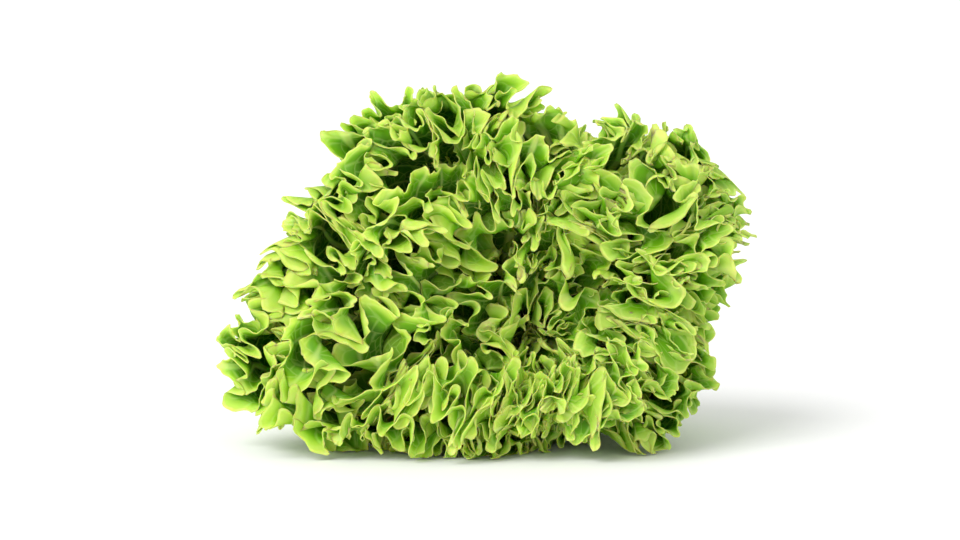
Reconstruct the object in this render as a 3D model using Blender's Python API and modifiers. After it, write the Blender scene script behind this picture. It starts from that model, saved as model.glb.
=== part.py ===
"""Head of curly green leaf lettuce, lying on its side with its crown facing -Y and its cut stem at the back.

Forty leaves stand on a short stem in a golden-angle spiral, the oldest outermost. Every leaf lies on its own
cup of a nested family, so no two leaves meet. The cups are first laid out around the stem's axis, as
(radius, angle, height), and are then squeezed into the outline that the head takes when it lies on a surface.
Metres, +Z up, origin under the middle of the head at the surface it lies on.
"""

import math

import bpy
from mathutils import Vector

COLLECTION = "head_of_lettuce"

# The spiral of leaves.
OUTER_LEAVES = 16
MIDDLE_LEAVES = 12
HEART_LEAVES = 12
LEAF_COUNT = OUTER_LEAVES + MIDDLE_LEAVES + HEART_LEAVES
GOLDEN_ANGLE = math.radians(137.5)
FIRST_LEAF_ANGLE = math.radians(-3.0)

# The stem, as radii and heights along its own axis.
STEM_RADIUS = 0.0182
STEM_BUTT = 0.003
STEM_BUTT_CHAMFER = 0.0015
STEM_SHOULDER = 0.010
STEM_TIP_RADIUS = 0.0022
STEM_TIP = 0.0655
STEM_SEGMENTS = 20

# A leaf's course from the stem to its tip is a cubic curve in (radius, height). Each of its four control points
# moves from the outermost leaf's place, past a middle leaf's, to the innermost leaf's.
MIDDLE_LEVEL = 0.6
COURSE_RADII = (
    (0.0210, 0.0104, 0.0040),
    (0.0600, 0.0310, 0.0060),
    (0.1160, 0.0660, 0.0080),
    (0.1460, 0.0880, 0.0160),
)
COURSE_HEIGHTS = (
    (0.0100, 0.0436, 0.0660),
    (0.0180, 0.0600, 0.0850),
    (0.0600, 0.1040, 0.1080),
    (0.1060, 0.1580, 0.1340),
)
OUTERMOST_RADIUS = COURSE_RADII[3][0]
COURSE_STEPS = 32

# A leaf's half width at stations along it, as shares of the leaf's length.
WIDTH_STATIONS = ((0.0, 0.070), (0.15, 0.085), (0.45, 0.27), (0.75, 0.42), (1.0, 0.34))
MOST_HALF_ANGLE = math.radians(45.0)
TIP_ROUNDING = 0.24  # how much shorter a leaf is along its sides than along its middle
TIP_SQUARENESS = 2.5

# Thicknesses: the blade, and the midrib where it leaves the stem.
BLADE_THICKNESS = 0.0010
RIB_THICKNESS_OUTER = 0.0042
RIB_THICKNESS_INNER = 0.0012
RIB_HALF_WIDTH = 0.0065
RIB_FADING = 1.3  # how fast the midrib thins towards the tip

# How the head lies: the axis rises towards the crown, and the head's outline seen along the axis is wider at
# its left and lower where the leaves press on the surface. Radii at angles counted from +X towards +Z.
AXIS_RISE = math.radians(20.0)
BUTT_HEIGHT = 0.0215
OUTLINE = (
    (0, 0.094), (12, 0.109), (23, 0.128), (38, 0.136), (50, 0.149), (57, 0.126), (68, 0.147), (77, 0.128),
    (87, 0.136), (102, 0.152), (118, 0.167), (131, 0.168), (142, 0.154), (160, 0.168), (176, 0.161),
    (186, 0.181), (196, 0.178), (210, 0.161), (228, 0.130), (250, 0.113), (275, 0.105), (300, 0.103),
    (320, 0.091), (342, 0.088),
)
OUTLINE_GRIP = 0.028  # how fast the outline takes hold outside the stem
FLOOR_GAP = 0.0009  # from the surface to the middle of the lowest blades
FLOOR_SHARPNESS = 8.0  # how abruptly the leaves turn from hanging free to lying on the surface
UNDERCUT_FROM = 0.115  # height along the axis beyond which the underside rises off the surface
UNDERCUT_SLOPE = 0.28
UNDERCUT_EASE = 0.020
LEAST_DOWN = 0.05  # keeps the room above the surface finite for leaves that point upwards
LEAST_GRIP = 0.05

OUTER_GRID = (8, 8)
INNER_GRID = (6, 6)

LEAF_GREENS = {
    "outer_leaf": (0.20, 0.42, 0.035, 1.0),
    "middle_leaf": (0.27, 0.50, 0.045, 1.0),
    "heart_leaf": (0.36, 0.58, 0.08, 1.0),
}
STEM_COLOUR = (0.62, 0.70, 0.36, 1.0)
LEAF_ROUGHNESS = 0.42
STEM_ROUGHNESS = 0.55


def clear_scene():
    for old in list(bpy.data.objects):
        bpy.data.objects.remove(old)


def through_three(level, outermost, middle, innermost):
    """The parabola through the three values, which stand at levels 0, MIDDLE_LEVEL and 1."""
    m = MIDDLE_LEVEL
    return (
        outermost * (level - m) * (level - 1) / m
        + middle * level * (level - 1) / (m * (m - 1))
        + innermost * level * (level - m) / (1 - m)
    )


def course_point(level, along):
    """(radius, height) of a point on the cup of this level: 0 is the outermost cup and 1 the innermost."""
    weights = (
        (1 - along) ** 3,
        3 * (1 - along) ** 2 * along,
        3 * (1 - along) * along**2,
        along**3,
    )
    radius = sum(w * through_three(level, *r) for w, r in zip(weights, COURSE_RADII))
    height = sum(w * through_three(level, *h) for w, h in zip(weights, COURSE_HEIGHTS))
    return radius, height


def course(level):
    return [Vector(course_point(level, k / COURSE_STEPS)) for k in range(COURSE_STEPS + 1)]


def course_length(level):
    points = course(level)
    return sum((b - a).length for a, b in zip(points, points[1:]))


def read_stations(stations, at):
    """A value read from (place, value) pairs, eased between them."""
    for (a, low), (b, high) in zip(stations, stations[1:]):
        if at <= b:
            share = (at - a) / (b - a)
            return low + (high - low) * share * share * (3 - 2 * share)
    return stations[-1][1]


def outline_radius(angle):
    """The head's reach in this direction, seen along its axis."""
    degrees = math.degrees(angle) % 360
    closed = (*OUTLINE, (360 + OUTLINE[0][0], OUTLINE[0][1]))
    return read_stations(closed, degrees)


def outermost_radius(height):
    """The outermost cup's radius at this height."""
    points = course(0.0)
    for low, high in zip(points, points[1:]):
        if height <= high.y:
            share = max(0.0, (height - low.y) / (high.y - low.y))
            return low.x + (high.x - low.x) * share
    return points[-1].x


def grip(radius):
    """How much of the squeeze reaches this radius: none at the stem, nearly all at the leaf tips."""
    return 1 - math.exp(-max(0.0, radius - STEM_RADIUS) / OUTLINE_GRIP)


def squeezed_radius(radius, angle, height):
    """The radius once the head lies on its side: scaled to the outline, and kept above the surface."""
    widening = outline_radius(angle) / OUTERMOST_RADIUS - 1
    rim = outermost_radius(height)
    down = max(-math.sin(angle) * math.cos(AXIS_RISE), LEAST_DOWN)
    beyond = height - UNDERCUT_FROM
    lift = UNDERCUT_SLOPE * (beyond + math.hypot(beyond, UNDERCUT_EASE)) / 2
    room = BUTT_HEIGHT + height * math.sin(AXIS_RISE) - FLOOR_GAP - lift
    floor = room / (down * rim * (1 + widening * grip(rim)))
    press = (1 + floor**-FLOOR_SHARPNESS) ** (-1 / FLOOR_SHARPNESS)
    pressed_share = min(1.0, grip(radius) / max(grip(rim), LEAST_GRIP))
    return radius * (1 + widening * grip(radius)) * (1 + (press - 1) * pressed_share)


def lying_point(radius, angle, height):
    """A point of the upright head, carried to where it lies."""
    squeezed = squeezed_radius(radius, angle, height)
    sideways = squeezed * math.cos(angle)
    upwards = squeezed * math.sin(angle)
    return Vector((
        sideways,
        -height * math.cos(AXIS_RISE) + upwards * math.sin(AXIS_RISE),
        BUTT_HEIGHT + height * math.sin(AXIS_RISE) + upwards * math.cos(AXIS_RISE),
    ))


def leaf_point(level, angle, across, along, length):
    """A point of a leaf: across runs from -1 to 1 over its width, and along from the stem, 0, to the tip, 1."""
    reach = along * (1 - TIP_ROUNDING * abs(across) ** TIP_SQUARENESS * along)
    radius, height = course_point(level, reach)
    half_width = read_stations(WIDTH_STATIONS, along) * length
    half_angle = min(MOST_HALF_ANGLE, half_width / radius)
    return lying_point(radius, angle + across * half_angle, height)


def rib_thickness(level):
    """The midrib's thickness where it leaves the stem."""
    return RIB_THICKNESS_OUTER + (RIB_THICKNESS_INNER - RIB_THICKNESS_OUTER) * level


def thickness(level, across, along, length):
    half_width = read_stations(WIDTH_STATIONS, along) * length
    ridge = math.exp(-((across * half_width / RIB_HALF_WIDTH) ** 2)) * (1 - along) ** RIB_FADING
    return BLADE_THICKNESS + (rib_thickness(level) - BLADE_THICKNESS) * ridge


def material(name, colour, roughness):
    made = bpy.data.materials.get(name) or bpy.data.materials.new(name)
    made.use_nodes = True
    shader = made.node_tree.nodes["Principled BSDF"]
    shader.inputs["Base Color"].default_value = colour
    shader.inputs["Roughness"].default_value = roughness
    shader.inputs["Metallic"].default_value = 0.0
    return made


def leaf_name(index):
    if index < OUTER_LEAVES:
        return "outer_leaf", index + 1
    if index < OUTER_LEAVES + MIDDLE_LEAVES:
        return "middle_leaf", index - OUTER_LEAVES + 1
    return "heart_leaf", index - OUTER_LEAVES - MIDDLE_LEAVES + 1


def make_leaf(index, parent, collection):
    """One leaf: an open curved sheet, given its thickness by Solidify."""
    kind, number = leaf_name(index)
    level = index / (LEAF_COUNT - 1)
    angle = FIRST_LEAF_ANGLE + index * GOLDEN_ANGLE
    length = course_length(level)
    columns, rows = OUTER_GRID if kind == "outer_leaf" else INNER_GRID
    bpy.ops.mesh.primitive_grid_add(x_subdivisions=columns, y_subdivisions=rows, size=2)
    leaf = bpy.context.object
    leaf.name = f"{kind}_{number:02d}"
    group = leaf.vertex_groups.new(name="thickness")
    for vertex in leaf.data.vertices:
        across, along = vertex.co.x, (vertex.co.y + 1) / 2
        share = thickness(level, across, along, length) / rib_thickness(level)
        group.add([vertex.index], share, "REPLACE")
        vertex.co = leaf_point(level, angle, across, along, length)
    thicken = leaf.modifiers.new("thickness", "SOLIDIFY")
    thicken.thickness = rib_thickness(level)
    thicken.offset = 0.0
    thicken.vertex_group = group.name
    leaf.data.materials.append(material(kind, LEAF_GREENS[kind], LEAF_ROUGHNESS))
    adopt(leaf, parent, collection)
    return leaf


def make_stem(parent, collection):
    """The short stem that carries the leaves: a turned profile, cut flat at the butt and tapering to the growing tip."""
    profile = (
        (0.0, STEM_TIP),
        (STEM_TIP_RADIUS, STEM_TIP - STEM_TIP_RADIUS),
        (STEM_RADIUS, STEM_SHOULDER),
        (STEM_RADIUS, STEM_BUTT + STEM_BUTT_CHAMFER),
        (STEM_RADIUS - STEM_BUTT_CHAMFER, STEM_BUTT),
        (0.0, STEM_BUTT),
    )
    mesh = bpy.data.meshes.new("stem")
    points = [(radius, 0.0, height) for radius, height in profile]
    edges = [(k, k + 1) for k in range(len(points) - 1)]
    mesh.from_pydata(points, edges, [])
    stem = bpy.data.objects.new("stem", mesh)
    turn = stem.modifiers.new("turn", "SCREW")
    turn.steps = STEM_SEGMENTS
    turn.render_steps = STEM_SEGMENTS
    turn.use_merge_vertices = True
    turn.merge_threshold = 0.00005
    mesh.materials.append(material("stem", STEM_COLOUR, STEM_ROUGHNESS))
    adopt(stem, parent, collection)
    stem.location = (0.0, 0.0, BUTT_HEIGHT)
    stem.rotation_euler = (math.pi / 2 - AXIS_RISE, 0.0, 0.0)
    return stem


def adopt(piece, parent, collection):
    for holder in piece.users_collection:
        holder.objects.unlink(piece)
    collection.objects.link(piece)
    piece.parent = parent


def stand_on_origin(parent, pieces):
    """Moves the whole head so that the middle of its box, at its lowest level, is the origin."""
    bpy.context.view_layer.update()
    graph = bpy.context.evaluated_depsgraph_get()
    corners = []
    for piece in pieces:
        evaluated = piece.evaluated_get(graph)
        mesh = evaluated.to_mesh()
        corners += [evaluated.matrix_world @ vertex.co for vertex in mesh.vertices]
        evaluated.to_mesh_clear()
    low = Vector([min(c[k] for c in corners) for k in range(3)])
    high = Vector([max(c[k] for c in corners) for k in range(3)])
    parent.location = (-(low.x + high.x) / 2, -(low.y + high.y) / 2, -low.z)


def main():
    clear_scene()
    collection = bpy.data.collections.new(COLLECTION)
    bpy.context.scene.collection.children.link(collection)
    head = bpy.data.objects.new("head", None)
    collection.objects.link(head)
    pieces = [make_stem(head, collection)]
    pieces += [make_leaf(index, head, collection) for index in range(LEAF_COUNT)]
    stand_on_origin(head, pieces)


main()
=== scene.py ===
"""Looks for the head of curly leaf lettuce: forty frilled leaves and a cut stem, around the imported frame.

Every leaf is laid out flat, as a fan of paths from its midrib to its margin. Its margin is then given far
more length than the blade has room for, so it meanders, the more the nearer it is to its edge. The ruffled
leaf is laid on its own cup, one of the nested family that the CAD leaves lie on. Most leaves also carry
frilled folds, which rise from the inner side of the blade towards the next leaves. The outermost leaves'
backs stay smooth: what would come out through them is pressed in again. All lengths are in metres.
"""

import math

import bpy
import numpy as np
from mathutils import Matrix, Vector
from mathutils.kdtree import KDTree


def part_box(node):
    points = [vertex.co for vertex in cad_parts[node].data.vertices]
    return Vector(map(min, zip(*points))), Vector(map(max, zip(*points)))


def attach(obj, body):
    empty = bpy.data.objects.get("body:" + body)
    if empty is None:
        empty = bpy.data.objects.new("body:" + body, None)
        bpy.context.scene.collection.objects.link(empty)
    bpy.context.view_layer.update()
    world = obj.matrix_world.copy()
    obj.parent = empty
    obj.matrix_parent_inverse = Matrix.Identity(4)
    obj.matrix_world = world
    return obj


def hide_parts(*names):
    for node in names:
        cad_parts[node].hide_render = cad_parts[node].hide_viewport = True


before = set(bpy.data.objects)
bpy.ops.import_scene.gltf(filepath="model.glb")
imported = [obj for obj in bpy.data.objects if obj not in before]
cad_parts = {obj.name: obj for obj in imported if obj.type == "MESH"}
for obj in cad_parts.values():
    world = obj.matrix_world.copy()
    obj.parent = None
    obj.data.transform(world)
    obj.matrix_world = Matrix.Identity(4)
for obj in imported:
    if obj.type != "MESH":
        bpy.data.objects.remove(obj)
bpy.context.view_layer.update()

TAU = 2 * math.pi

# ----------------------------------------
# The head's plan, as the CAD has it: a golden-angle spiral of leaves on nested cups around the stem.
KINDS = (("outer_leaf", 16), ("middle_leaf", 12), ("heart_leaf", 12))
LEAF_COUNT = sum(count for _, count in KINDS)
GOLDEN_ANGLE = math.radians(137.5)
FIRST_LEAF_ANGLE = math.radians(-3.0)

STEM_RADIUS = 0.0182
STEM_BUTT = 0.003
STEM_CHAMFER = 0.0015
STEM_SHOULDER = 0.010
STEM_TIP = 0.0655

MIDDLE_LEVEL = 0.6
COURSE_RADII = (
    (0.0210, 0.0104, 0.0040),
    (0.0600, 0.0310, 0.0060),
    (0.1160, 0.0660, 0.0080),
    (0.1460, 0.0880, 0.0160),
)
COURSE_HEIGHTS = (
    (0.0100, 0.0436, 0.0660),
    (0.0180, 0.0600, 0.0850),
    (0.0600, 0.1040, 0.1080),
    (0.1060, 0.1580, 0.1340),
)
AXIS_RISE = math.radians(20.0)
BUTT_HEIGHT = 0.0215
OUTLINE = (
    (0, 0.094), (12, 0.109), (23, 0.128), (38, 0.136), (50, 0.149), (57, 0.126), (68, 0.147), (77, 0.128),
    (87, 0.136), (102, 0.152), (118, 0.167), (131, 0.168), (142, 0.154), (160, 0.168), (176, 0.161),
    (186, 0.181), (196, 0.178), (210, 0.161), (228, 0.130), (250, 0.113), (275, 0.105), (300, 0.103),
    (320, 0.091), (342, 0.088), (360, 0.094),
)
FRILL_ROOM = 0.965  # of the CAD outline: the blades keep to it, and the frills swing further out
OUTLINE_GRIP = 0.028
FLOOR_GAP = 0.0009
FLOOR_SHARPNESS = 8.0
UNDERCUT_FROM = 0.115  # along the axis, where the underside starts to rise off the surface
UNDERCUT_SLOPE = 0.28
UNDERCUT_EASE = 0.020
LEAST_DOWN = 0.05
LEAST_GRIP = 0.05

# ----------------------------------------
# The flat leaf: half its outline as (across, along) shares of its length, from its base to its tip.
HALF_OUTLINE = (
    (0.060, 0.000), (0.068, 0.100), (0.110, 0.220), (0.215, 0.380), (0.335, 0.560), (0.415, 0.740),
    (0.400, 0.900), (0.240, 0.990), (0.000, 1.010),
)
FOOT_REACH = 0.70  # how far up the midrib the last side path leaves it
BASE_OVERLAP = 0.004  # how far a leaf's base runs into the stem
HEART_NARROWING = 0.80  # an innermost leaf's width, as a share of an outermost leaf's
MOST_HALF_ANGLE = math.radians(75.0)

COLUMN_STEP = 0.00042  # along the flat margin
COLUMN_BLOCK = 8  # columns come in whole blocks, so that every stride fits
FRILL_ROWS = 17
BLADE_ROWS = 9
COARSE_STRIDES = ((0.30, 1), (0.72, 2), (9.0, 4))  # (share of the frill's depth, columns to a step)

BLADE_THICKNESS = 0.00055
HEART_THINNING = 0.25
RIB_THICKNESS = (0.0046, 0.0012)  # of the outermost and innermost leaf, at the base
RIB_SHARES = (0.78, 0.22)  # of a rib, that stand out of the leaf's back and of its inner side
RIB_HALF_WIDTH = 0.0048
HEART_RIB_NARROWING = 0.7

# ----------------------------------------
# The frill. Turns and rolls are in radians. A drift is (how many main waves it takes to change, lowest,
# highest), and a wander is (the length it takes to change, lowest, highest).
LEAF_SEED = 1000
WAVE_LENGTH = (0.0125, 0.0165, 0.0115)  # of the outermost, a middle and the innermost leaf
WAVE_SPREAD = (0.85, 1.2)  # from one leaf to the next
FRILL_DEPTH = (0.022, 0.018)  # how far into the outermost and innermost blades the main waves reach
FRILL_START = (0.10, 0.26)  # where the frill sets in, as shares of the way from a base corner to the tip
NOTCH_DEPTH = (0.017, 0.0, 0.07)  # wander: the flat margin's notches, as shares of the way to the midrib
MOST_TURN = 2.6  # which no turn passes
LEAST_FORWARD = 0.22  # what a meander keeps of its forward way, at least
ROOTED = 0.95  # of a sheet's height: no wave reaches deeper

SWELL = (1.1, 0.6, 1.35)  # drift: stretches and shrinks the main waves
SKEW = (2.0, -1.2, 1.2)  # drift: how far a main wave leans over on its way in
MAIN_TURN = (0.9, 1.3, 2.3)  # drift
SECOND_WAVE = 0.22
SECOND_PHASE = (2.0, -3.0, 3.0)  # drift
BROAD_LENGTH = (2.0, 2.1, 3.4)  # drift, in main waves
BROAD_TURN = (2.0, 0.4, 1.1)  # drift
BROAD_DEPTH = 2.2  # in frill depths
FINE_WAVE = 0.36  # in main waves
FINE_SPREAD = (0.75, 1.3)
FINE_TURN = (1.0, 0.15, 0.65)  # drift
FINE_DEPTH = 0.34  # in frill depths
MOSS_TURN = 1.7  # added to the fine waves where the frill is curled as tight as moss
MOSS_PATCHES = (0.030, 0.0, 1.0)  # wander
MOSS_FROM = (0.42, 0.72)  # where in that wander the moss sets in
HEART_MOSS_LOSS = 0.25
CRINKLE_LENGTH = 0.0026
CRINKLE_SPREAD = (0.006, 0.7, 1.4)  # wander
CRINKLE_TURN = (0.7, 0.1, 0.55)  # drift
CRINKLE_DEPTH = 0.0055

ROLL = (0.05, 0.42)  # of every margin, and more where a main wave stands out
ROLL_ZONE = 0.5
ROLL_SKEW = 0.3
ROLL_DRIFT = (1.2, -0.4, 0.4)  # drift
BROAD_ROLL = (2.5, -0.6, 0.7)  # drift
SIDE_LEAN = (2.5, -0.5, 0.5)  # drift, as shares of the frill's depth
BOW = 0.30  # how much a wave that stands out is drawn back towards the base
MOST_BOW = 0.012
TOOTH_LENGTH = (0.004, 0.0018, 0.0044)  # wander
TOOTH_HEIGHT = (0.006, 0.0009, 0.0034)  # wander
TOOTH_MIDDLE = 0.6
TOOTH_DEPTH = 0.0035

# The blade as a whole.
SLOW_SWING = 0.0045
SLOW_WAVE = 0.030
BLISTERS = 0.0011
BLISTER_WAVES = 7
BLISTER_PITCH = (0.007, 0.016)
BLISTERED_FROM = (0.05, 0.4)  # shares of the way from the root to the edge
LEAF_BEND = 0.004
BEND_END = 1.1  # shares of the leaf's length
BASE_END = 0.2
FAN_LEAF = 11  # shows its smooth inner face, with ribs in a fan, at the upper right
FAN_FRILL = 0.62  # its frill's depth, as a share of another leaf's
FAN_FROM = 0.60  # where on the midrib the fan starts, as a share of the leaf's length

# Folds on the inner side of the blade.
TIER = 0.15  # in levels: about this much further in, the next leaf stands behind a leaf
FOLDS = ((0.45, (0.5,)), (0.62, (0.4, 0.75)), (0.97, (0.55,)), (9.0, ()))  # (up to this level, tier shares)
FOLD_DEPTH = (0.020, 0.036)  # of a fold at its leaf, and of one a tier further in
FOLD_START = 0.26  # share of the way from a base corner to the tip
FOLD_FADE = (-0.05, 0.25)  # past that start, where a fold begins to rise and where it has risen
FOLD_ROWS = 14
FOLD_ROOT = (0.030, 0.9, 1.2)  # wander
FOLD_HEIGHT = (0.020, 0.8, 1.05)  # wander
FOLD_LEAST_HEIGHT = 0.25
FOLD_OVER = (0.025, 0.8, 1.2)  # wander
FOLD_OVER_AT = 0.8  # of its height, where a fold has gone all the way over to the inner cup
DEEPEST_ROOT = 0.8  # of the way to the midrib

# Smooth backs.
BACK_STRIDE = 4
PRESSING_LEAVES = 9  # the outermost, whose backs show
PRESSED_FROM = (0.005, 0.011)  # in from the margin: where pressing sets in, and where it is full
PRESSED_CLEAR = 0.0011  # how far behind the back a pressed point ends up
PRESSED_CLEAR_FROM = 0.004  # the height from which a fold keeps that distance
PRESSED_WITHIN = 0.015  # points further out don't belong behind this back
PRESSED_BESIDE = (0.004, 0.006)  # nor do points this far beside it
PRESSED_BOX_ROOM = 0.002

# The head as a whole.
WARP = 0.0045
WARP_WAVES = 9
WARP_PITCH = (0.045, 0.095)
WARP_PUSH = (1.0, 0.7, 1.0)
WARP_CENTRE = (0.05, 0.05)  # back and up from the frame's origin, where the warp is still
WARP_GROWS = (0.02, 0.09)  # distances from there
FLOOR_CLEARANCE = 0.0009
FLOOR_SOFTNESS = 0.0016


def plan():
    """(index, kind, number) of each leaf, the outermost first."""
    index = 0
    for kind, count in KINDS:
        for number in range(1, count + 1):
            yield index, kind, number
            index += 1


def through_three(level, outermost, middle, innermost):
    m = MIDDLE_LEVEL
    return (
        outermost * (level - m) * (level - 1) / m
        + middle * level * (level - 1) / (m * (m - 1))
        + innermost * level * (level - m) / (1 - m)
    )


class Course:
    """A leaf's way from the stem to its tip: radius and height against the length along it."""

    STEPS = 160

    def __init__(self, level):
        along = np.linspace(0, 1, self.STEPS)
        weights = ((1 - along) ** 3, 3 * (1 - along) ** 2 * along, 3 * (1 - along) * along**2, along**3)
        self.radius = sum(w * through_three(level, *r) for w, r in zip(weights, COURSE_RADII))
        self.height = sum(w * through_three(level, *h) for w, h in zip(weights, COURSE_HEIGHTS))
        steps = np.hypot(np.diff(self.radius), np.diff(self.height))
        self.at = np.concatenate([[0], np.cumsum(steps)])
        self.length = self.at[-1]

    def point(self, at):
        """(radius, height), carried on straight beyond both ends."""
        radius = np.interp(at, self.at, self.radius)
        height = np.interp(at, self.at, self.height)
        for end, inner, beyond in ((0, 1, np.minimum(at, 0)), (-1, -2, np.maximum(at - self.length, 0))):
            run = self.at[end] - self.at[inner]
            radius = radius + beyond * (self.radius[end] - self.radius[inner]) / run
            height = height + beyond * (self.height[end] - self.height[inner]) / run
        return radius, height


OUTERMOST = Course(0.0)
OUTERMOST_RADIUS = COURSE_RADII[3][0]


def eased(at, stations):
    """A value read from (place, value) pairs, eased between them."""
    places = np.array([s[0] for s in stations], float)
    values = np.array([s[1] for s in stations], float)
    k = np.clip(np.searchsorted(places, at) - 1, 0, len(places) - 2)
    share = np.clip((at - places[k]) / (places[k + 1] - places[k]), 0, 1)
    return values[k] + (values[k + 1] - values[k]) * share * share * (3 - 2 * share)


def grip(radius):
    return 1 - np.exp(-np.maximum(0, radius - STEM_RADIUS) / OUTLINE_GRIP)


def squeezed_radius(radius, angle, height):
    """The radius once the head lies on its side, as the CAD squeezes it."""
    widening = FRILL_ROOM * eased(np.degrees(angle) % 360, OUTLINE) / OUTERMOST_RADIUS - 1
    rim = np.interp(height, OUTERMOST.height, OUTERMOST.radius)
    down = np.maximum(-np.sin(angle) * math.cos(AXIS_RISE), LEAST_DOWN)
    beyond = height - UNDERCUT_FROM
    lift = UNDERCUT_SLOPE * (beyond + np.hypot(beyond, UNDERCUT_EASE)) / 2
    room = BUTT_HEIGHT + height * math.sin(AXIS_RISE) - FLOOR_GAP - lift
    floor = room / (down * rim * (1 + widening * grip(rim)))
    press = (1 + floor**-FLOOR_SHARPNESS) ** (-1 / FLOOR_SHARPNESS)
    share = np.minimum(1, grip(radius) / np.maximum(grip(rim), LEAST_GRIP))
    return radius * (1 + widening * grip(radius)) * (1 + (press - 1) * share)


def head_shift():
    """How far the CAD moved the head to stand its box on the origin, read from where its stem is."""
    low, high = (Vector(corner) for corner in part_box("stem"))
    rise = AXIS_RISE
    back = -STEM_BUTT * math.cos(rise) + (STEM_RADIUS - STEM_CHAMFER) * math.sin(rise)
    under = BUTT_HEIGHT + (STEM_BUTT + STEM_CHAMFER) * math.sin(rise) - STEM_RADIUS * math.cos(rise)
    return np.array([(low.x + high.x) / 2, high.y - back, low.z - under])


SHIFT = head_shift()


def tipped(sideways, upwards, height):
    """Points of the upright head, from lengths across its axis and along it, once it lies on its side."""
    rise = AXIS_RISE
    return np.stack([
        sideways,
        -height * math.cos(rise) + upwards * math.sin(rise),
        BUTT_HEIGHT + height * math.sin(rise) + upwards * math.cos(rise),
    ], axis=-1)


def lying(radius, angle, height):
    """Points of the upright head, carried to where it lies."""
    squeezed = squeezed_radius(radius, angle, height)
    return SHIFT + tipped(squeezed * np.cos(angle), squeezed * np.sin(angle), height)


class Cup:
    """The surface that a sheet of a leaf lies on: the leaf's own cup, or for a fold a surface that goes over
    from that cup to one further in."""

    def __init__(self, angle, course, inner=None, over=0.0):
        self.angle = angle
        self.course = course
        self.inner = inner
        self.over = over

    def place(self, across, along):
        """Points of the cup, from lengths across and along the flat leaf."""
        radius, height = self.course.point(along)
        swing = across / np.maximum(radius, 0.002)
        swing = MOST_HALF_ANGLE * np.tanh(swing / MOST_HALF_ANGLE)
        if self.inner:
            further = self.inner.point(along - self.course.length + self.inner.length)
            radius = radius + (further[0] - radius) * self.over
            height = height + (further[1] - height) * self.over
        return lying(np.maximum(radius, 0.001), self.angle + swing, height)

    def outward(self, across, along, step=0.0004):
        """The cup's unit normals, pointing away from the stem's axis."""
        side = self.place(across + step, along) - self.place(across - step, along)
        up = self.place(across, along + step) - self.place(across, along - step)
        return unit(np.cross(side, up))


def unit(vectors):
    return vectors / np.maximum(np.linalg.norm(vectors, axis=-1, keepdims=True), 1e-12)


# ----------------------------------------
# Curves and noise.


def smooth_curve(points, count):
    """count points, evenly spaced, on the Catmull-Rom curve through these."""
    p = np.array(points, float)
    p = np.vstack([2 * p[0] - p[1], p, 2 * p[-1] - p[-2]])
    t = np.linspace(0, 1, 24, endpoint=False)[:, None]
    runs = []
    for a, b, c, d in zip(p, p[1:], p[2:], p[3:]):
        square = 2 * a - 5 * b + 4 * c - d
        cube = 3 * b - a - 3 * c + d
        runs.append(0.5 * (2 * b + (c - a) * t + square * t**2 + cube * t**3))
    dense = np.vstack(runs + [p[-2:-1]])
    at = np.concatenate([[0], np.cumsum(np.linalg.norm(np.diff(dense, axis=0), axis=1))])
    even = np.linspace(0, at[-1], count)
    return np.stack([np.interp(even, at, dense[:, k]) for k in range(dense.shape[1])], axis=1), at[-1]


def wander(rng, places, spacing, low=-1.0, high=1.0):
    """Smooth random values between low and high, which take this length to change."""
    knots = int(math.ceil((places.max() - places.min()) / spacing)) + 4
    values = rng.uniform(low, high, knots)
    at = (places - places.min()) / spacing + rng.uniform(0, 1)
    k = at.astype(int)
    share = at - k
    share = share * share * (3 - 2 * share)
    return values[k] + (values[k + 1] - values[k]) * share


def blurred(rows, width):
    """Each row, blurred along itself with a Gaussian of this many columns."""
    reach = int(3 * width)
    kernel = np.exp(-0.5 * (np.arange(-reach, reach + 1) / width) ** 2)
    kernel /= kernel.sum()
    padded = np.pad(rows, ((0, 0), (reach, reach)), mode="edge")
    return np.stack([np.convolve(row, kernel, mode="valid") for row in padded])


def phase_along(at, lengths):
    """The phase of waves whose length changes along the margin."""
    return np.cumsum(TAU / lengths * np.gradient(at))


def between(share, first, last):
    return first + (last - first) * share


def ramp(value, low, high):
    """0 up to low, 1 from high on, and eased between them."""
    share = np.clip((value - low) / (high - low), 0, 1)
    return share * share * (3 - 2 * share)


# ----------------------------------------
# One leaf: its blade and its folds.


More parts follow.
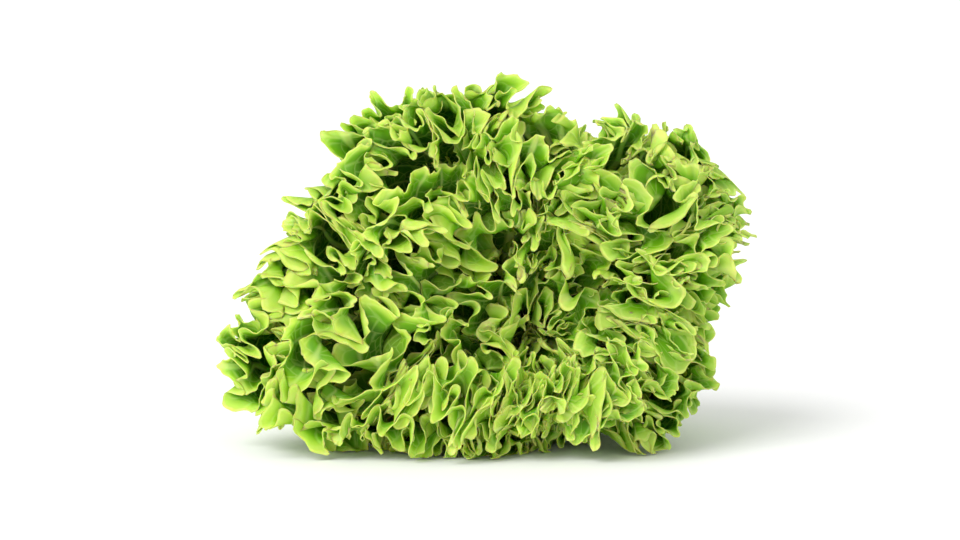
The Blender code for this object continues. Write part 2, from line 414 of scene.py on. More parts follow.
class Leaf:
    """A leaf's cup and its flat outline. Columns run from one base corner round the tip to the other."""

    def __init__(self, index):
        self.index = index
        self.level = index / (LEAF_COUNT - 1)
        self.angle = FIRST_LEAF_ANGLE + index * GOLDEN_ANGLE
        self.course = Course(self.level)
        self.length = self.course.length
        self.rng = np.random.default_rng(LEAF_SEED + index)
        self.wave = through_three(self.level, *WAVE_LENGTH) * self.rng.uniform(*WAVE_SPREAD)
        self.depth = between(self.level, *FRILL_DEPTH)
        if index == FAN_LEAF:
            self.depth *= FAN_FRILL
        # Painted side light: leaves on the head's left, towards the key light, get a higher value and are
        # painted yellower, and those on the right are painted a deeper green. The random part is each leaf's
        # own tone.
        leftward = 0.5 - 0.5 * math.cos(self.angle) * (1 - 0.5 * self.level)
        self.tone_and_side_light = float(np.clip(leftward + self.rng.uniform(-0.3, 0.3), 0, 1))
        self.lay_out()

    def lay_out(self):
        """The flat outline, and the path to each column: from its foot on the midrib, past its bend."""
        width = between(self.level**1.5, 1, HEART_NARROWING)
        outline = np.array(HALF_OUTLINE) * self.length * (width, 1.0)
        _, reach = smooth_curve(outline, COLUMN_BLOCK)
        self.half = COLUMN_BLOCK * int(math.ceil(reach / COLUMN_STEP / COLUMN_BLOCK))
        margin, _ = smooth_curve(outline, self.half + 1)
        from_tip = np.arange(2 * self.half + 1) - self.half
        turn, side = np.abs(from_tip), np.sign(from_tip)
        self.way = 1 - turn / self.half  # 0 at both base corners, 1 at the tip
        self.at = np.linspace(-reach, reach, len(turn))
        edge = margin[self.half - turn] * np.stack([side, np.ones_like(side)], axis=1)
        foot = np.stack([np.zeros(len(turn)), self.length * FOOT_REACH * self.way**1.15], axis=1)
        notch = wander(self.rng, self.at, *NOTCH_DEPTH) * ramp(self.way, *FRILL_START)
        self.edge = edge + (foot - edge) * notch[:, None]
        self.foot = foot
        rise = foot[:, 1] + 0.70 * (self.edge[:, 1] - foot[:, 1])
        self.bend = np.stack([0.30 * self.edge[:, 0], rise], axis=1)
        chord = np.linalg.norm(self.edge - foot, axis=1)
        legs = np.linalg.norm(self.edge - self.bend, axis=1) + np.linalg.norm(self.bend - foot, axis=1)
        self.path = 0.5 * (chord + legs)

    def flat(self, inland, columns):
        """(across, along) of places this far in from the flat margin, along the paths to the midrib."""
        t = (1 - inland / self.path[columns])[..., None]
        foot, bend, edge = self.foot[columns], self.bend[columns], self.edge[columns]
        bent = (1 - t) ** 2 * foot + 2 * t * (1 - t) * bend + t**2 * edge
        return bent[..., 0], bent[..., 1]


class Sheet:
    """Part of a leaf, as rows along the margin: row 0 is its root and the last row its frilled edge."""

    def __init__(self, leaf, columns, from_edge, strides):
        self.leaf = leaf
        self.rng = leaf.rng
        self.columns = columns
        self.frilled = ramp(leaf.way[columns], *FRILL_START)
        self.from_edge = from_edge
        self.strides = strides

    def near_edge(self, depth):
        """1 at the frilled edge, falling to 0 at this depth into the sheet, or at its root."""
        depth = np.minimum(depth, ROOTED * self.from_edge[0])
        return np.clip(1 - self.from_edge / depth, 0, 1)

    def drift(self, at, waves, low, high):
        """Smooth random values that take this many main waves to change."""
        return wander(self.rng, at, waves * self.leaf.wave, low, high)

    def main_turns(self, at, near):
        """Turns of the main waves, and the phase and skew that the margin's roll follows."""
        phase = phase_along(at, self.leaf.wave * self.drift(at, *SWELL)) + self.rng.uniform(0, TAU)
        skew = self.drift(at, *SKEW)
        strength = self.frilled * self.drift(at, *MAIN_TURN)
        second = SECOND_WAVE * np.sin(2 * phase + self.drift(at, *SECOND_PHASE))
        folded = np.sin(phase + skew * (1 - near)) + second
        return strength * near**0.8 * folded, phase, skew

    def broad_turns(self, at):
        """Turns of long waves that reach deep into the blade."""
        length = self.leaf.wave * self.drift(at, *BROAD_LENGTH)
        phase = phase_along(at, length) + self.rng.uniform(0, TAU)
        deep = self.near_edge(BROAD_DEPTH * self.leaf.depth)
        return self.frilled * self.drift(at, *BROAD_TURN) * deep * np.sin(phase)

    def fine_turns(self, at):
        """Turns of short waves close to the edge, strongest where it is mossy."""
        length = self.leaf.wave * FINE_WAVE
        phase = phase_along(at, length * wander(self.rng, at, 2 * length, *FINE_SPREAD))
        shallow = self.near_edge(FINE_DEPTH * self.leaf.depth)
        patches = wander(self.rng, at, *MOSS_PATCHES) - HEART_MOSS_LOSS * self.leaf.level
        moss = MOSS_TURN * ramp(patches, *MOSS_FROM)
        return self.frilled * (self.drift(at, *FINE_TURN) + moss) * shallow * np.sin(phase)

    def crinkle_turns(self, at):
        """Turns of the shortest waves, at the very edge."""
        phase = phase_along(at, CRINKLE_LENGTH * wander(self.rng, at, *CRINKLE_SPREAD))
        brink = self.near_edge(CRINKLE_DEPTH)
        return self.frilled * self.drift(at, *CRINKLE_TURN) * brink * np.sin(phase)

    def meander(self, turn, row_step, at):
        """Lengths along the row and outwards that follow these turns and stay near the row."""
        window = self.leaf.wave / np.mean(np.gradient(at))
        forward, sideways = np.cos(turn), np.sin(turn)
        stretch = 1 / np.maximum(blurred(forward, window), LEAST_FORWARD)
        along_row = np.cumsum((forward * stretch - 1) * row_step, axis=1)
        outwards = np.cumsum(sideways * stretch * row_step, axis=1)
        return along_row - blurred(along_row, window), outwards - blurred(outwards, 1.6 * window)

    def teeth(self, at):
        """How far the teeth along the very edge stand out."""
        phase = 0.5 * phase_along(at, wander(self.rng, at, *TOOTH_LENGTH))
        height = self.frilled * wander(self.rng, at, *TOOTH_HEIGHT)
        height = height * (TOOTH_MIDDLE - np.abs(np.sin(phase)) ** 0.65)
        return height * np.clip(1 - self.from_edge / TOOTH_DEPTH, 0, 1)

    def ruffle(self, row_step, at):
        """Lengths to move each point by: along its row, outwards from the blade, and back from the edge.
        row_step is the length between columns on the cup, and at the length along the edge."""
        depth = self.leaf.depth
        near = self.near_edge(depth)
        main, phase, skew = self.main_turns(at, near)
        turn = main + self.broad_turns(at) + self.fine_turns(at) + self.crinkle_turns(at)
        turn = MOST_TURN * np.tanh(turn / MOST_TURN)
        along_row, outwards = self.meander(turn, row_step, at)

        # The margin rolls outwards, most at the waves that already stand out.
        rolled = self.near_edge(ROLL_ZONE * depth) ** 1.1
        roll = ROLL[0] - ROLL[1] * np.cos(phase + ROLL_SKEW * skew) + self.drift(at, *ROLL_DRIFT)
        angle = self.frilled * (roll * rolled + self.drift(at, *BROAD_ROLL) * near**1.1)
        drop = np.diff(self.from_edge, axis=0, prepend=self.from_edge[:1])
        outwards = outwards + np.cumsum(-drop * np.sin(angle), axis=0)
        back = np.cumsum(-drop * (1 - np.cos(angle)), axis=0)
        along_row = along_row + self.frilled * self.drift(at, *SIDE_LEAN) * depth * near**1.5
        back = back + BOW * np.minimum(outwards**2 / depth, MOST_BOW) * near
        return along_row, outwards, back - self.teeth(at)

    def undulation(self, at):
        """How far the blade swings out or in, in slow waves and in blisters between its veins."""
        rng = self.rng
        near = 1 - self.from_edge / self.from_edge[0]
        slow = wander(rng, at, SLOW_WAVE) * SLOW_SWING * near**2
        blisters = np.zeros_like(near)
        for _ in range(BLISTER_WAVES):
            direction = rng.uniform(0, TAU)
            pitch = rng.uniform(*BLISTER_PITCH)
            place = self.across * math.cos(direction) + self.along * math.sin(direction)
            blisters += np.sin(TAU * place / pitch + rng.uniform(0, TAU))
        return slow + BLISTERS * blisters / BLISTER_WAVES * ramp(near, *BLISTERED_FROM)

    def lay(self, inland, cup, bend):
        """Lays the rows on a cup, this far in from the flat margin, and ruffles them."""
        leaf = self.leaf
        self.across, self.along = leaf.flat(inland, self.columns)
        base = BASE_OVERLAP * (1 - ramp(self.along / leaf.length, 0, BASE_END))
        flat = (self.across, self.along - base)
        self.normals = cup.outward(*flat)
        tip = np.clip(self.along / leaf.length, 0, BEND_END)
        self.rest = cup.place(*flat) + self.normals * (bend * tip**3)[..., None]
        steps = np.gradient(self.rest, axis=1)
        row_step = np.linalg.norm(steps, axis=-1)
        row_way = steps / np.maximum(row_step, 1e-9)[..., None]
        edge_way = unit(np.cross(row_way, self.normals)) * -1
        margin = np.cumsum(row_step[-1])
        along_row, outwards, back = self.ruffle(row_step, margin)
        outwards = outwards + self.undulation(margin)
        self.points = self.rest + row_way * along_row[..., None] + self.normals * outwards[..., None]
        self.points = self.points - edge_way * back[..., None]


class Back:
    """The smooth back of a blade, away from its margin, which folds and later leaves stay behind."""

    def __init__(self, blade):
        places = blade.points[:, ::BACK_STRIDE]
        facing = unit(np.cross(np.gradient(places, axis=1), np.gradient(places, axis=0)))
        facing *= np.sign(np.sum(facing * blade.normals[:, ::BACK_STRIDE], axis=-1))[..., None]
        held = ramp(blade.from_edge[:, ::BACK_STRIDE], *PRESSED_FROM)
        bare = held > 0
        self.places, self.facing, self.held = places[bare], facing[bare], held[bare]
        self.low = self.places.min(axis=0) - PRESSED_BOX_ROOM
        self.high = self.places.max(axis=0) + PRESSED_BOX_ROOM
        self.tree = KDTree(len(self.places))
        for k, place in enumerate(self.places.tolist()):
            self.tree.insert(place, k)
        self.tree.balance()

    def press(self, points, clear=PRESSED_CLEAR):
        """The points, with those that have come through this back moved behind it, clear by this much."""
        flat = points.reshape(-1, 3).copy()
        clear = np.broadcast_to(clear, points.shape[:-1]).ravel()
        close = np.flatnonzero(((flat > self.low) & (flat < self.high)).all(axis=1))
        if not len(close):
            return points
        nearest = np.array([self.tree.find(place)[1] for place in flat[close].tolist()])
        away = flat[close] - self.places[nearest]
        outside = np.sum(away * self.facing[nearest], axis=-1)
        beside = np.sqrt(np.maximum(np.sum(away**2, axis=-1) - outside**2, 0))
        held = self.held[nearest] * (1 - ramp(beside, *PRESSED_BESIDE)) * (outside < PRESSED_WITHIN)
        push = np.maximum(outside + clear[close], 0) * held
        flat[close] -= self.facing[nearest] * push[:, None]
        return flat.reshape(points.shape)


def stride_at(share):
    return next(stride for most, stride in COARSE_STRIDES if share <= most)


def blade_sheet(leaf, bend):
    """The blade, from its midrib to its margin, with its rows close together in the frill."""
    frill = np.linspace(0, 1, FRILL_ROWS) ** 1.45
    inner = np.linspace(0, 1, BLADE_ROWS + 1)[1:] ** 0.8
    zone = np.minimum(leaf.depth, 0.82 * leaf.path)
    rows = [zone * share for share in frill] + [zone + (leaf.path - zone) * share for share in inner]
    strides = [stride_at(share) for share in frill] + [COARSE_STRIDES[-1][1]] * BLADE_ROWS
    sheet = Sheet(leaf, slice(None), np.array(rows)[::-1], strides[::-1])
    sheet.lay(sheet.from_edge, Cup(leaf.angle, leaf.course), bend)
    return sheet


def fold_sheet(leaf, blade, back, share, bend):
    """A frilled fold that rises from the blade's inner side, and whose edge stands this share of the way to
    the next tier of leaves."""
    start = COLUMN_BLOCK * int(leaf.half * FOLD_START / COLUMN_BLOCK)
    columns = range(start, 2 * leaf.half + 1 - start)
    taken = slice(columns.start, columns.stop)
    at, path = leaf.at[taken], leaf.path[taken]
    full = ramp(leaf.way[taken], FOLD_START + FOLD_FADE[0], FOLD_START + FOLD_FADE[1])
    depth = between(share, *FOLD_DEPTH)
    root = np.minimum(depth * wander(leaf.rng, at, *FOLD_ROOT), DEEPEST_ROOT * path)
    reach = root * between(full, FOLD_LEAST_HEIGHT, 1) * wander(leaf.rng, at, *FOLD_HEIGHT)
    shares = np.linspace(0, 1, FOLD_ROWS)[::-1] ** 1.3
    from_edge = np.array([reach * share for share in shares])
    sheet = Sheet(leaf, taken, from_edge, [stride_at(share) for share in shares])
    up = reach - from_edge
    over = ramp(up / reach, 0, FOLD_OVER_AT) * full * wander(leaf.rng, at, *FOLD_OVER)
    inner = Course(min(leaf.level + share * TIER, 1.0))
    sheet.lay(root - up, Cup(leaf.angle, leaf.course, inner, over), bend)

    # The fold goes where the ruffled blade takes its root.
    moved = (blade.points - blade.rest)[::-1]
    inland = blade.from_edge[::-1]
    for k, column in enumerate(columns):
        for axis in range(3):
            sheet.points[:, k, axis] += np.interp(root[k], inland[:, column], moved[:, column, axis])
    sheet.points = back.press(sheet.points, PRESSED_CLEAR * ramp(up, 0, PRESSED_CLEAR_FROM))
    return sheet


def leaf_sheets(leaf, backs):
    """The leaf's blade and folds, kept behind these backs. An outermost leaf adds its own to them."""
    bend = LEAF_BEND * leaf.rng.uniform(-1, 1)
    blade = blade_sheet(leaf, bend)
    for back in backs:
        blade.points = back.press(blade.points)
    own_back = Back(blade)
    sheets = [blade]
    shares = () if leaf.index == FAN_LEAF else next(shares for most, shares in FOLDS if leaf.level <= most)
    for share in shares:
        fold = fold_sheet(leaf, blade, own_back, share, bend)
        for back in backs:
            fold.points = back.press(fold.points)
        sheets.append(fold)
    if leaf.index < PRESSING_LEAVES:
        backs.append(own_back)
    return sheets


def warped(points):
    """The whole head, pushed about in slow swells that all the leaves share."""
    rng = np.random.default_rng(7)
    reach = np.linalg.norm(points - np.array([SHIFT[0], *WARP_CENTRE]), axis=-1)
    held = ramp(reach, *WARP_GROWS)
    moved = np.zeros_like(points)
    for _ in range(WARP_WAVES):
        direction = unit(rng.normal(size=3))
        push = rng.normal(size=3) * WARP_PUSH
        pitch = rng.uniform(*WARP_PITCH)
        moved += np.sin(TAU / pitch * (points @ direction) + rng.uniform(0, TAU))[..., None] * push
    return points + WARP / 3 * moved * held[..., None]


def above_floor(points):
    """Blades that would hang through the surface are pressed flat against it."""
    height = points[..., 2] - FLOOR_CLEARANCE
    soft = FLOOR_SOFTNESS
    free = 6 * soft  # above this, a softened height is the same as the height
    pressed = soft * np.log1p(np.exp(np.minimum(height, free) / soft))
    points[..., 2] = np.where(height > free, height, pressed) + FLOOR_CLEARANCE
    return points


def quad_strip(low, high):
    return [(a, b, d, c) for a, b, c, d in zip(low, low[1:], high, high[1:])]


def widening_strip(low, high):
    """Faces between a row and one with twice its columns."""
    faces = []
    for k in range(len(low) - 1):
        a, b = low[k], low[k + 1]
        c, d, e = high[2 * k], high[2 * k + 1], high[2 * k + 2]
        faces += [(a, d, c), (a, b, d), (b, e, d)]
    return faces


def numbered(sheet, whole):
    """The vertex number at each kept place of the sheet's grid, and those places' rows and columns."""
    number = -np.ones(sheet.across.shape, int)
    kept = []
    for row, stride in enumerate(sheet.strides):
        for column in range(0, number.shape[1], stride):
            if row == 0 and whole and column > sheet.leaf.half:  # both halves share the midrib
                number[row, column] = number[row, 2 * sheet.leaf.half - column]
                continue
            number[row, column] = len(kept)
            kept.append((row, column))
    return number, tuple(np.array(kept).T)


def sheet_faces(number, strides):
    faces = []
    for row in range(len(strides) - 1):
        low = number[row, ::strides[row]]
        high = number[row + 1, ::strides[row + 1]]
        faces += quad_strip(low, high) if len(low) == len(high) else widening_strip(low, high)
    faces = [tuple(dict.fromkeys(face)) for face in faces]
    return [face for face in faces if len(face) > 2]


def sheet_mesh(sheet):
    """The sheet made solid: moved half its thickness each way, and joined along its edges. Gives its
    vertices, its faces, what the materials read at each vertex, and the places on the flat leaf."""
    leaf = sheet.leaf
    whole = sheet.across.shape[1] == 2 * leaf.half + 1
    number, kept = numbered(sheet, whole)
    middle = above_floor(warped(sheet.points))[kept]
    faces = sheet_faces(number, sheet.strides)
    normals = vertex_normals(middle, faces)

    across = sheet.across[kept]
    along = sheet.along[kept] / leaf.length
    thickness = BLADE_THICKNESS * (1 - HEART_THINNING * leaf.level)
    rib = between(leaf.level, *RIB_THICKNESS)
    half_width = RIB_HALF_WIDTH * (1 - HEART_RIB_NARROWING * leaf.level) * np.clip(1.1 - along, 0.12, 1)
    ridge = np.exp(-((across / half_width) ** 2)) * np.clip(1 - along, 0, 1) ** 1.2 * whole
    outer = middle + normals * (0.5 * thickness + RIB_SHARES[0] * rib * ridge)[:, None]
    inner = middle - normals * (0.5 * thickness + RIB_SHARES[1] * rib * ridge)[:, None]

    count = len(middle)
    border = edge_loop(number, sheet.strides, whole)
    solid = list(faces)
    solid += [tuple(v + count for v in reversed(face)) for face in faces]
    solid += [(b, a, a + count, b + count) for a, b in zip(border, border[1:] + border[:1])]
    values = {
        "from_edge": np.tile(sheet.from_edge[kept], 2),
        "along": np.tile(along, 2),
        "from_rib": np.tile(np.abs(across), 2),
        "back": np.repeat([1.0, 0.0], count),
        "tone_and_side_light": np.full(2 * count, leaf.tone_and_side_light),
    }
    place = np.stack([across, sheet.along[kept]], axis=1)
    return np.vstack([outer, inner]), solid, values, np.tile(place, (2, 1))


def vertex_normals(points, faces):
    triangles = np.array([(f[0], f[k], f[k + 1]) for f in faces for k in range(1, len(f) - 1)])
    a, b, c = (points[triangles[:, k]] for k in range(3))
    weights = np.cross(b - a, c - a)
    normals = np.zeros_like(points)
    for k in range(3):
        np.add.at(normals, triangles[:, k], weights)
    return unit(normals)


def leaf_mesh(name, sheets):
    """All the sheets of a leaf, as one mesh."""
    vertices, faces, values, places = [], [], {}, []
    for sheet in sheets:
        points, solid, read, place = sheet_mesh(sheet)
        shift = sum(len(v) for v in vertices)
        vertices.append(points)
        faces += [tuple(v + shift for v in face) for face in solid]
        places.append(place)
        for label, value in read.items():
            values.setdefault(label, []).append(value)
    mesh = bpy.data.meshes.new(name)
    mesh.from_pydata(np.vstack(vertices).tolist(), [], faces)
    mesh.shade_smooth()
    for label, value in values.items():
        lay_attribute(mesh, label, np.concatenate(value))
    lay_uv(mesh, "blade", np.vstack(places))
    return mesh


def lay_attribute(mesh, name, per_vertex):
    layer = mesh.attributes.new(name, "FLOAT", "POINT")
    layer.data.foreach_set("value", per_vertex.astype(np.float32))


def lay_uv(mesh, name, per_vertex):
    corners = np.empty(len(mesh.loops), dtype=np.int32)
    mesh.loops.foreach_get("vertex_index", corners)
    layer = mesh.uv_layers.new(name=name)
    layer.data.foreach_set("uv", per_vertex[corners].astype(np.float32).ravel())


def edge_loop(number, strides, whole):
    """The vertices round the sheet's edge: along its frill, down one end, back along its root (which a whole
    blade doesn't have, as its halves meet there), and up the other end."""
    rows, columns = number.shape
    margin = [number[-1, c] for c in range(0, columns, strides[-1])]
    right = [number[r, columns - 1] for r in range(rows - 2, 0, -1)]
    root = [] if whole else [number[0, c] for c in range(columns - 1, 0, -strides[0])]
    left = [number[r, 0] for r in range(0, rows - 1)]
    return [int(v) for v in margin + right + root + left]


# ----------------------------------------
# Materials.


class Graph:
    """Short ways to add nodes. An input is a number, a colour or another node's output."""

    def __init__(self, name):
        self.material = bpy.data.materials.new(name)
        self.material.use_nodes = True
        self.nodes = self.material.node_tree.nodes
        self.links = self.material.node_tree.links
        self.shader = self.nodes["Principled BSDF"]

    def join(self, source, socket):
        if isinstance(source, bpy.types.NodeSocket):
            self.links.new(source, socket)
        elif isinstance(source, tuple) and len(source) == 3 and len(socket.default_value) == 4:
            socket.default_value = (*source, 1)
        else:
            socket.default_value = source

    def add(self, kind, inputs=(), **settings):
        made = self.nodes.new("ShaderNode" + kind)
        for name, value in settings.items():
            setattr(made, name, value)
        for name, source in dict(inputs).items():
            self.join(source, made.inputs[name])
        return made

    def read(self, attribute):
        return self.add("Attribute", attribute_name=attribute).outputs["Fac"]

    def math(self, operation, *sources):
        return self.add("Math", dict(enumerate(sources)), operation=operation).outputs["Value"]

    def spread(self, value, low, high, start=0.0, end=1.0, smooth=True):
        """start where the value is low, and end where it is high."""
        kind = "SMOOTHSTEP" if smooth else "LINEAR"
        inputs = {"Value": value, "From Min": low, "From Max": high, "To Min": start, "To Max": end}
        return self.add("MapRange", inputs, interpolation_type=kind).outputs["Result"]

    def mix(self, share, first, second):
        made = self.add("Mix", data_type="RGBA")
        self.join(share, made.inputs["Factor"])
        self.join(first, made.inputs["A"])
        self.join(second, made.inputs["B"])
        return made.outputs["Result"]

    def noise(self, scale, vector, detail=3.0):
        inputs = {"Vector": vector, "Scale": scale, "Detail": detail, "Roughness": 0.55}
        return self.add("TexNoise", inputs).outputs["Fac"]


# The blade is a deep green far in from its margin, which is painted shade for the hollows inside the head.
# It is brighter towards its frills, partly its own colour and partly painted light. Its very rim is pale,
# partly its own paler margin and partly a painted highlight of light shining through the thin edge. Leaves
# on the side towards the key light are painted yellower, and those away from it a deeper green: painted side
# light.
SHADED_DEEP_GREEN = (0.030, 0.120, 0.004)
FRESH = (0.140, 0.370, 0.004)
BRIGHT = (0.415, 0.690, 0.010)
LIT_SIDE_YELLOW = (0.620, 0.760, 0.018)
PALE_RIM_AND_HIGHLIGHT = (0.820, 0.940, 0.250)
PALE_FLESH = (0.640, 0.790, 0.220)
BACK_BLOOM = (0.400, 0.620, 0.050)
SIDE_VEIN_SPACING = 0.0125
NET_CELL = 0.0042
FAN_SPACING = math.radians(7)  # between the ribs of the leaf that shows its inner face
MIDRIB_WIDTH = (0.0062, 0.0012)  # at the leaf's base and towards its tip

STEM_FLESH = (0.66, 0.72, 0.42)
STEM_GREEN = (0.50, 0.62, 0.24)
STEM_FIBRE = (0.78, 0.80, 0.56)
CUT_BROWN = (0.36, 0.22, 0.085)
RING_BROWN = (0.24, 0.15, 0.06)
CUT_RING = 0.0118  # the radius of the ring of sap vessels that shows in the cut


def leaf_material(name, youth, fan_from=None):
    """A leaf's blade. Youth runs from 0 for the oldest leaves, deep green, to 1 for the pale heart, and
    lightens the painted shade far in from the margin. Where fan_from is given, pale ribs also fan out from
    that length along the midrib."""
    g = Graph(name)
    from_edge = g.read("from_edge")
    from_rib = g.read("from_rib")
    along = g.read("along")
    tone_and_side_light = g.read("tone_and_side_light")
    back = g.read("back")
    blade = g.add("UVMap", uv_map="blade").outputs["UV"]
    place = g.add("TexCoord").outputs["Object"]

    # Greens, in clouds: a deep green far in from the margin, which is painted shade for the hollows (younger
    # leaves get less of it), fresh green between, and a brighter green towards the frill, partly the frill's
    # own colour and partly painted light.
    clouds = g.noise(26.0, place)
    mottle = g.noise(170.0, place, detail=4.0)
    uneven = g.math("MULTIPLY_ADD", clouds, 0.012, from_edge)
    deep = tuple(between(0.3 * youth, d, f) for d, f in zip(SHADED_DEEP_GREEN, FRESH))
    green = g.mix(g.spread(uneven, 0.024, 0.011), deep, FRESH)
    lit = g.spread(uneven, 0.0125, 0.0045)
    green = g.mix(lit, green, BRIGHT)
    # Painted side light: leaves towards the key light, on the head's left, are painted yellower near their
    # frills, and those on the right a deeper green. The rest of each leaf's value is a random tone.
    lit_side_yellow = g.math("MULTIPLY", g.spread(tone_and_side_light, 0.25, 1.0, 0.0, 0.8), g.spread(clouds, 0.35, 0.65))
    green = g.mix(g.math("MULTIPLY", lit_side_yellow, lit), green, LIT_SIDE_YELLOW)
    green = g.mix(g.spread(mottle, 0.35, 0.68, 0.0, 0.28), green, FRESH)
    green = g.mix(g.spread(tone_and_side_light, 0.55, 0.0, 0.0, 0.38), green, FRESH)

    # Veins: side veins that leave the midrib in pairs, a net between them, and the midrib itself.
    split = g.add("SeparateXYZ", {"Vector": blade})
    across = g.math("ABSOLUTE", split.outputs["X"])
    curl = g.math("MULTIPLY", g.math("POWER", across, 1.25), 1.9)
    straight = g.math("SUBTRACT", split.outputs["Y"], curl)
    bent = g.math("MULTIPLY_ADD", g.noise(60.0, blade, detail=1.0), 0.006, straight)
    step = g.math("PINGPONG", g.math("DIVIDE", bent, SIDE_VEIN_SPACING), 0.5)
    side_vein = g.spread(step, 0.085, 0.0)
    cells = {"Vector": blade, "Scale": 1 / NET_CELL, "Randomness": 0.9}
    net = g.add("TexVoronoi", cells, feature="DISTANCE_TO_EDGE")
    net_vein = g.spread(net.outputs["Distance"], 0.10, 0.0)
    midrib_width = g.spread(along, 0.0, 0.9, *MIDRIB_WIDTH, smooth=False)
    midrib = g.spread(g.math("DIVIDE", from_rib, midrib_width), 1.25, 0.35)
    foot = g.spread(along, 0.34, 0.02)
    pale = g.math("MAXIMUM", g.math("MULTIPLY", midrib, 0.85), g.math("MULTIPLY", foot, 0.8))
    veined = g.math("MAXIMUM", g.math("MULTIPLY", side_vein, 0.42), g.math("MULTIPLY", net_vein, 0.20))
    if fan_from:
        beyond = g.math("SUBTRACT", split.outputs["Y"], fan_from)
        ray = g.math("PINGPONG", g.math("DIVIDE", g.math("ARCTAN2", across, beyond), FAN_SPACING), 0.5)
        fan = g.math("MULTIPLY", g.spread(ray, 0.28, 0.08), g.spread(beyond, -0.004, 0.004))
        fan = g.math("MULTIPLY", fan, g.spread(from_edge, 0.003, 0.018, 0.1, 0.85))
        veined = g.math("MAXIMUM", veined, fan)
    colour = g.mix(g.math("MAXIMUM", pale, veined), green, PALE_FLESH)

    # The back is duller. The very rim is paler: partly the margin's own paler colour, partly a painted
    # highlight of light shining through the thin edge.
    colour = g.mix(g.math("MULTIPLY", back, 0.30), colour, BACK_BLOOM)
    edge = g.math("MULTIPLY_ADD", mottle, -0.0016, from_edge)
    brink = g.spread(edge, 0.0008, -0.0005, 0.0, 0.70)
    flare = g.spread(edge, 0.0046, -0.0010, 0.0, 0.38)
    colour = g.mix(g.math("MAXIMUM", brink, flare), colour, PALE_RIM_AND_HIGHLIGHT)
    g.join(colour, g.shader.inputs["Base Color"])

    # Relief: blisters between the veins, which lie sunk in the front.
    fine = g.math("MULTIPLY", g.noise(700.0, place), 0.25)
    relief = g.math("ADD", g.math("MULTIPLY", mottle, 0.7), fine)
    relief = g.math("SUBTRACT", relief, g.math("MULTIPLY", g.math("MAXIMUM", side_vein, net_vein), 0.55))
    bump = g.add("Bump", {"Strength": 0.55, "Distance": 0.00045, "Height": relief})
    g.join(bump.outputs["Normal"], g.shader.inputs["Normal"])
    g.join(g.spread(mottle, 0.3, 0.7, 0.36, 0.52), g.shader.inputs["Roughness"])
    g.shader.inputs["Specular IOR Level"].default_value = 0.17
    g.shader.inputs["Subsurface Weight"].default_value = 0.8
    g.shader.inputs["Subsurface Radius"].default_value = (0.5, 1.0, 0.12)
    g.shader.inputs["Subsurface Scale"].default_value = 0.0013
    return g.material


def stem_material():
    """Pale, fibrous stem flesh in green clouds, browned at the cut."""
    g = Graph("stem_flesh")
    place = g.add("TexCoord").outputs["Object"]
    fibre = g.noise(420.0, place, detail=4.0)
    clouds = g.noise(60.0, place)
    colour = g.mix(g.spread(clouds, 0.35, 0.65), STEM_FLESH, STEM_GREEN)
    brown = g.math("MULTIPLY", g.read("cut"), g.spread(clouds, 0.30, 0.62, 0.35, 0.85))
    colour = g.mix(brown, colour, CUT_BROWN)
    off_ring = g.math("ABSOLUTE", g.math("SUBTRACT", g.read("from_axis"), CUT_RING))
    ring = g.spread(off_ring, 0.0011, 0.0, 0.0, 0.55)
    colour = g.mix(g.math("MULTIPLY", ring, g.read("cut")), colour, RING_BROWN)
    colour = g.mix(g.spread(fibre, 0.4, 0.65, 0.0, 0.22), colour, STEM_FIBRE)
    g.join(colour, g.shader.inputs["Base Color"])
    g.join(g.spread(fibre, 0.3, 0.7, 0.42, 0.62), g.shader.inputs["Roughness"])
    bump = g.add("Bump", {"Strength": 0.5, "Distance": 0.0006, "Height": fibre})
    g.join(bump.outputs["Normal"], g.shader.inputs["Normal"])
    g.shader.inputs["Subsurface Weight"].default_value = 0.5
    g.shader.inputs["Subsurface Radius"].default_value = (1.0, 0.8, 0.3)
    g.shader.inputs["Subsurface Scale"].default_value = 0.003
    return g.material


def floor_material():
    """White paper with a faint tooth."""
    g = Graph("studio_white")
    tooth = g.noise(900.0, g.add("TexCoord").outputs["Object"])
    paper = g.mix(g.spread(tooth, 0.3, 0.7), (0.99, 0.99, 0.99), (1.0, 1.0, 1.0))
    g.join(paper, g.shader.inputs["Base Color"])
    g.join(g.spread(tooth, 0.3, 0.7, 0.60, 0.70), g.shader.inputs["Roughness"])
    g.shader.inputs["Specular IOR Level"].default_value = 0.2
    return g.material


# ----------------------------------------
# Building.
STEM_RINGS = 64
STEM_SIDES = 96
STEM_PROFILE = (
    (0.0003, STEM_TIP), (0.0030, STEM_TIP - 0.004), (0.0105, 0.5 * STEM_TIP), (0.0165, 0.018),
    (0.0178, STEM_SHOULDER), (0.0178, STEM_BUTT + 0.002), (0.0168, STEM_BUTT + 0.0004), (0.0140, STEM_BUTT),
    (0.0060, STEM_BUTT + 0.0003), (0.0003, STEM_BUTT + 0.0005),
)
SCARS = 16
SCAR_HEIGHTS = (0.006, 0.030)
SCAR_HALF_WIDTHS = (0.6, 1.1)  # in radians round the stem
SCAR_THICKNESS = 0.0012
SCAR_RELIEF = 0.0006
MOST_RELIEF = 0.0005

FLOOR_REACH = 400.0
SKY_STRENGTH = 0.78
SUN_STRENGTH = 1.95
SUN_ANGLE = math.radians(38)
SUN_FROM = (-0.8, -0.7, 1.2)
SUN_AT = (0, 0, 0.1)
LENS = 85
CAMERA_ELEVATION = math.radians(7)
CAMERA_DISTANCE = 1.24
CAMERA_AT = (0.0015, 0, 0.0916)


def new_object(name, data):
    made = bpy.data.objects.new(name, data)
    bpy.context.scene.collection.objects.link(made)
    return made


def aim(piece, target):
    piece.rotation_euler = (Vector(target) - piece.location).to_track_quat("-Z", "Y").to_euler()


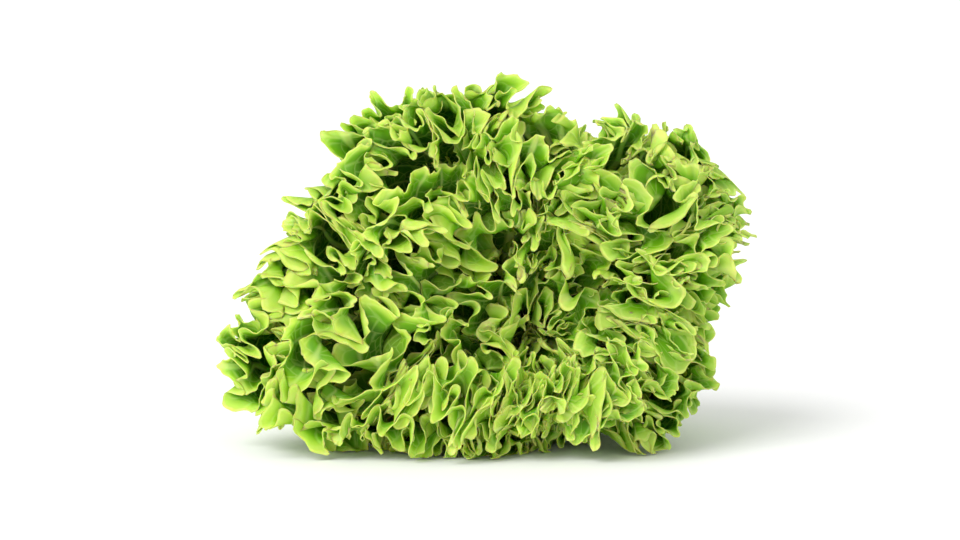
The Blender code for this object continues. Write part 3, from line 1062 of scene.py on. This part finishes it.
def build_leaves():
    materials = {
        "outer_leaf": leaf_material("outer_leaf_blade", 0.0),
        "middle_leaf": leaf_material("middle_leaf_blade", 0.4),
        "heart_leaf": leaf_material("heart_leaf_blade", 0.8),
    }
    ribbed = leaf_material("ribbed_leaf_blade", 0.3, FAN_FROM * Leaf(FAN_LEAF).length)
    backs = []
    for index, kind, number in plan():
        name = f"{kind}_{number:02d}"
        mesh = leaf_mesh(f"frilled_{name}", leaf_sheets(Leaf(index), backs))
        mesh.materials.append(ribbed if index == FAN_LEAF else materials[kind])
        piece = new_object(f"frilled_{name}", mesh)
        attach(piece, "root")
        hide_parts(name)


def stem_ring(radius, height, around, scars):
    """A ring of the upright stem: ridged and scarred on its side, and rough on its cut."""
    side = ramp(radius, 0.008, 0.015) * ramp(height, STEM_BUTT, STEM_BUTT + 0.003)
    ridge = 0.0003 * np.sin(11 * around + 3 * height / 0.01) + 0.0002 * np.sin(23 * around)
    for angle, level, half_width in scars:
        apart = np.abs((around - angle + math.pi) % TAU - math.pi) / half_width
        near = np.exp(-((height - level) / SCAR_THICKNESS) ** 2)
        ridge = ridge + SCAR_RELIEF * near * np.clip(1 - apart**2, 0, 1)
    reach = radius + np.minimum(ridge, MOST_RELIEF) * side
    rough = 0.00022 * np.sin(7 * around + radius / 0.002) * (1 - side) * ramp(radius, 0.0005, 0.004)
    heights = height + rough * (height < 0.01)
    return np.stack([reach * np.cos(around), reach * np.sin(around), heights], axis=1)


def build_stem():
    """The stem with the scars of its lowest, pulled leaves, and an uneven cut."""
    rng = np.random.default_rng(5)
    ranges = ((0, TAU), SCAR_HEIGHTS, SCAR_HALF_WIDTHS)
    scars = [[rng.uniform(*least_most) for least_most in ranges] for _ in range(SCARS)]
    around = np.linspace(0, TAU, STEM_SIDES, endpoint=False)
    profile, _ = smooth_curve(STEM_PROFILE, STEM_RINGS)
    points = np.vstack([stem_ring(radius, height, around, scars) for radius, height in profile])
    cut = np.repeat(profile[:, 1] < STEM_BUTT + 0.0012, STEM_SIDES)
    faces = []
    for ring in range(STEM_RINGS - 1):
        for side in range(STEM_SIDES):
            a = ring * STEM_SIDES + side
            b = ring * STEM_SIDES + (side + 1) % STEM_SIDES
            faces.append((a, a + STEM_SIDES, b + STEM_SIDES, b))
    faces.append(tuple(range(STEM_SIDES)))
    faces.append(tuple(reversed(range(len(points) - STEM_SIDES, len(points)))))
    mesh = bpy.data.meshes.new("cut_stem")
    mesh.from_pydata((SHIFT + tipped(*points.T)).tolist(), [], faces)
    mesh.shade_smooth()
    lay_attribute(mesh, "cut", cut)
    lay_attribute(mesh, "from_axis", np.hypot(points[:, 0], points[:, 1]))
    mesh.materials.append(stem_material())
    stem = new_object("cut_stem", mesh)
    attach(stem, "root")
    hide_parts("stem")


def build_floor():
    mesh = bpy.data.meshes.new("floor")
    corners = [(FLOOR_REACH * x, FLOOR_REACH * y, 0) for x, y in ((-1, -1), (1, -1), (1, 1), (-1, 1))]
    mesh.from_pydata(corners, [], [(0, 1, 2, 3)])
    mesh.materials.append(floor_material())
    new_object("floor", mesh)


def build_light():
    world = bpy.data.worlds.new("studio")
    bpy.context.scene.world = world
    world.use_nodes = True
    background = world.node_tree.nodes["Background"]
    background.inputs["Color"].default_value = (1, 1, 1, 1)
    background.inputs["Strength"].default_value = SKY_STRENGTH
    key = bpy.data.lights.new("softbox", "SUN")
    key.angle = SUN_ANGLE
    key.energy = SUN_STRENGTH
    lamp = new_object("softbox", key)
    lamp.location = SUN_FROM
    aim(lamp, SUN_AT)


def build_camera():
    scene = bpy.context.scene
    scene.view_settings.view_transform = "Standard"
    data = bpy.data.cameras.new("camera")
    data.lens = LENS
    camera = new_object("camera", data)
    away = Vector((0, -math.cos(CAMERA_ELEVATION), math.sin(CAMERA_ELEVATION)))
    camera.location = Vector(CAMERA_AT) + CAMERA_DISTANCE * away
    aim(camera, CAMERA_AT)
    scene.camera = camera


build_leaves()
build_stem()
build_floor()
build_light()
build_camera()
